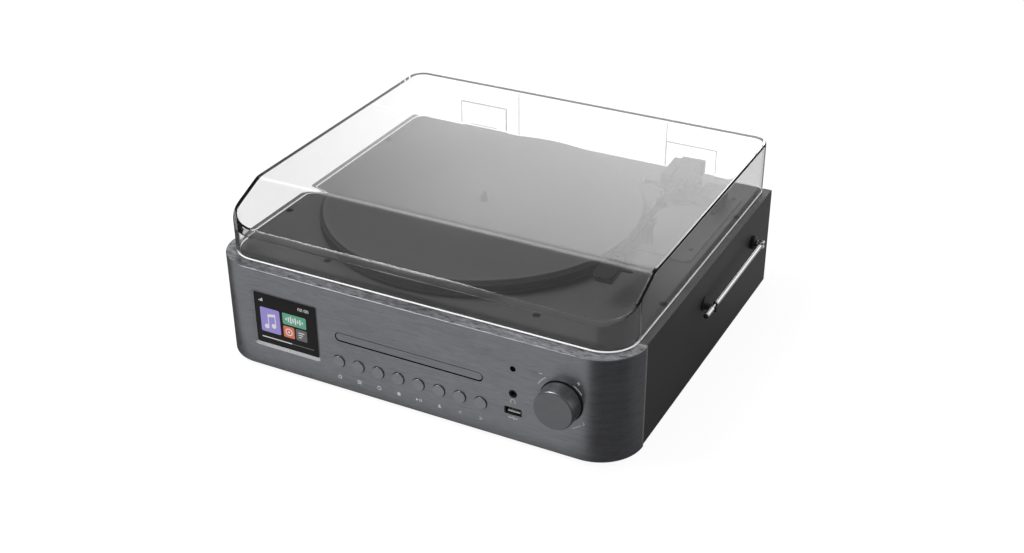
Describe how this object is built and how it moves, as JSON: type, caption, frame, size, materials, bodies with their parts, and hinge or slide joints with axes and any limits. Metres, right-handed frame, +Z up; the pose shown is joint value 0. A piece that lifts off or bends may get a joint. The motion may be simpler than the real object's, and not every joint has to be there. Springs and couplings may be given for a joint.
{
  "type": "stereo music system",
  "caption": "Record player under a hinged clear cover on a cabinet with a disc drawer, colour display, press buttons, turning knob and folding aerial.",
  "frame": {"origin": "centre of the bounding box's footprint, on the surface the feet stand on", "axes": "+X to the right along the front, +Y to the back, +Z up"},
  "size_m": [0.4014, 0.3658, 0.1489],
  "materials": {
    "front_metal": "brushed, dark grey anodised",
    "side_black": "matt black foil",
    "case_black": "matt",
    "deck_black": "satin",
    "foot_rubber": "matt",
    "clear_cover": "clear, polished",
    "black_plastic": "satin",
    "board_green": "lacquered circuit board",
    "screen_glass": "polished",
    "button_metal": "satin, dark grey",
    "knob_metal": "turned, dark grey",
    "steel": "plain",
    "chrome": "polished",
    "brass": "plain",
    "platter_metal": "painted black",
    "mat_rubber": "matt",
    "drawer_plastic": "satin, dark grey"
  },
  "bodies": {
    "cabinet": {"front_panel": "front_metal", "side_panel_left": "side_black", "side_panel_right": "side_black", "base_panel": "case_black", "back_panel": "case_black", "deck_plate": "deck_black", "main_board": "board_green", "power_supply": "board_green", "hinge_bracket_left": "black_plastic", "hinge_bracket_right": "black_plastic", "foot_front_left": "foot_rubber", "foot_rear_left": "foot_rubber", "foot_front_right": "foot_rubber", "foot_rear_right": "foot_rubber", "display_window": "screen_glass", "display_module": "black_plastic", "control_board": "board_green", "headphone_jack": "black_plastic", "usb_socket": "steel", "remote_eye": "screen_glass", "disc_loader_frame": "case_black", "platter_bearing": "brass", "turntable_motor": "steel", "drive_belt": "foot_rubber", "tonearm_base": "black_plastic", "mains_inlet": "black_plastic", "rear_sockets": "black_plastic", "aerial_base": "black_plastic", "aerial_clip": "black_plastic"},
    "cover": {"dust_cover": "clear_cover", "hinge_leaf_left": "clear_cover", "hinge_leaf_right": "clear_cover"},
    "platter": {"platter": "platter_metal", "platter_mat": "mat_rubber", "spindle": "chrome"},
    "pulley": {"motor_pulley": "brass"},
    "yoke": {"tonearm_yoke": "black_plastic"},
    "arm": {"tonearm": "black_plastic", "counterweight": "steel", "cartridge": "black_plastic"},
    "lift": {"lift_platform": "black_plastic"},
    "cue": {"cue_lever": "black_plastic"},
    "selector": {"speed_selector": "black_plastic"},
    "drawer": {"disc_drawer": "drawer_plastic"},
    "hub": {"disc_hub": "black_plastic"},
    "sled": {"laser_sled": "black_plastic"},
    "standby": {"standby_button": "button_metal"},
    "mode": {"mode_button": "button_metal"},
    "repeat": {"repeat_button": "button_metal"},
    "stop": {"stop_button": "button_metal"},
    "play": {"play_button": "button_metal"},
    "eject": {"eject_button": "button_metal"},
    "previous": {"previous_button": "button_metal"},
    "next": {"next_button": "button_metal"},
    "encoder": {"encoder_shaft": "steel"},
    "knob": {"volume_knob": "knob_metal"},
    "knuckle": {"aerial_knuckle": "chrome"},
    "sleeve": {"aerial_sleeve": "chrome"},
    "middle": {"aerial_middle": "chrome"},
    "tip": {"aerial_tip": "chrome"}
  },
  "joints": [
    {"name": "cover_hinge", "type": "hinge", "parent": "cabinet", "child": "cover", "pos_m": [-0.00575, 0.1789, 0.0955], "axis": [-1, 0, 0], "range_deg": [0, 65]},
    {"name": "platter_spin", "type": "hinge", "parent": "cabinet", "child": "platter", "pos_m": [-0.02475, 0.0036, 0.1005], "axis": [0, 0, -1], "continuous": true},
    {"name": "pulley_spin", "type": "hinge", "parent": "cabinet", "child": "pulley", "pos_m": [-0.09684, -0.04687, 0.1005], "axis": [0, 0, -1], "continuous": true},
    {"name": "arm_swing", "type": "hinge", "parent": "cabinet", "child": "yoke", "pos_m": [0.12225, 0.1156, 0.1265], "axis": [0, 0, -1], "range_deg": [0, 40]},
    {"name": "arm_lift", "type": "hinge", "parent": "yoke", "child": "arm", "pos_m": [0.12225, 0.1156, 0.1265], "axis": [-0.9986, -0.0523, 0], "range_deg": [0, 4]},
    {"name": "lift_rise", "type": "slide", "parent": "cabinet", "child": "lift", "axis": [0, 0, 1], "range_m": [0, 0.0022]},
    {"name": "cue_turn", "type": "hinge", "parent": "cabinet", "child": "cue", "pos_m": [0.15725, 0.1096, 0.109], "axis": [-1, 0, 0], "range_deg": [0, 62]},
    {"name": "speed_turn", "type": "hinge", "parent": "cabinet", "child": "selector", "pos_m": [0.07925, 0.1306, 0.1005], "axis": [0, 0, -1], "range_deg": [0, 60]},
    {"name": "drawer_slide", "type": "slide", "parent": "cabinet", "child": "drawer", "axis": [0, -1, 0], "range_m": [0, 0.132]},
    {"name": "hub_spin", "type": "hinge", "parent": "cabinet", "child": "hub", "pos_m": [-0.00455, -0.0984, 0.0477], "axis": [0, 0, 1], "continuous": true},
    {"name": "sled_slide", "type": "slide", "parent": "cabinet", "child": "sled", "axis": [0, 1, 0], "range_m": [0, 0.032]},
    {"name": "standby_press", "type": "slide", "parent": "cabinet", "child": "standby", "axis": [0, 1, 0], "range_m": [0, 0.0008], "stiffness_N_per_m": 800, "springref_m": -0.001},
    {"name": "mode_press", "type": "slide", "parent": "cabinet", "child": "mode", "axis": [0, 1, 0], "range_m": [0, 0.0008], "stiffness_N_per_m": 800, "springref_m": -0.001},
    {"name": "repeat_press", "type": "slide", "parent": "cabinet", "child": "repeat", "axis": [0, 1, 0], "range_m": [0, 0.0008], "stiffness_N_per_m": 800, "springref_m": -0.001},
    {"name": "stop_press", "type": "slide", "parent": "cabinet", "child": "stop", "axis": [0, 1, 0], "range_m": [0, 0.0008], "stiffness_N_per_m": 800, "springref_m": -0.001},
    {"name": "play_press", "type": "slide", "parent": "cabinet", "child": "play", "axis": [0, 1, 0], "range_m": [0, 0.0008], "stiffness_N_per_m": 800, "springref_m": -0.001},
    {"name": "eject_press", "type": "slide", "parent": "cabinet", "child": "eject", "axis": [0, 1, 0], "range_m": [0, 0.0008], "stiffness_N_per_m": 800, "springref_m": -0.001},
    {"name": "previous_press", "type": "slide", "parent": "cabinet", "child": "previous", "axis": [0, 1, 0], "range_m": [0, 0.0008], "stiffness_N_per_m": 800, "springref_m": -0.001},
    {"name": "next_press", "type": "slide", "parent": "cabinet", "child": "next", "axis": [0, 1, 0], "range_m": [0, 0.0008], "stiffness_N_per_m": 800, "springref_m": -0.001},
    {"name": "knob_press", "type": "slide", "parent": "cabinet", "child": "encoder", "axis": [0, 1, 0], "range_m": [0, 0.0005], "stiffness_N_per_m": 1500, "springref_m": -0.001},
    {"name": "knob_turn", "type": "hinge", "parent": "encoder", "child": "knob", "pos_m": [0.13475, -0.1674, 0.055], "axis": [0, 1, 0], "continuous": true},
    {"name": "aerial_swivel", "type": "hinge", "parent": "cabinet", "child": "knuckle", "pos_m": [0.19725, 0.1216, 0.069], "axis": [-1, 0, 0], "range_deg": [0, 180]},
    {"name": "aerial_fold", "type": "hinge", "parent": "knuckle", "child": "sleeve", "pos_m": [0.19725, 0.1216, 0.069], "axis": [0, 0, 1], "range_deg": [0, 90]},
    {"name": "aerial_reach", "type": "slide", "parent": "sleeve", "child": "middle", "axis": [0, -1, 0], "range_m": [0, 0.1]},
    {"name": "tip_reach", "type": "slide", "parent": "middle", "child": "tip", "axis": [0, -1, 0], "range_m": [0, 0.09]}
  ],
  "couplings": [
    {"joint": "pulley_spin", "follows": "platter_spin", "ratio": 11},
    {"joint": "cue_turn", "follows": "arm_lift", "ratio": 15},
    {"joint": "lift_rise", "follows": "arm_lift", "m_per_rad": 0.03}
  ]
}
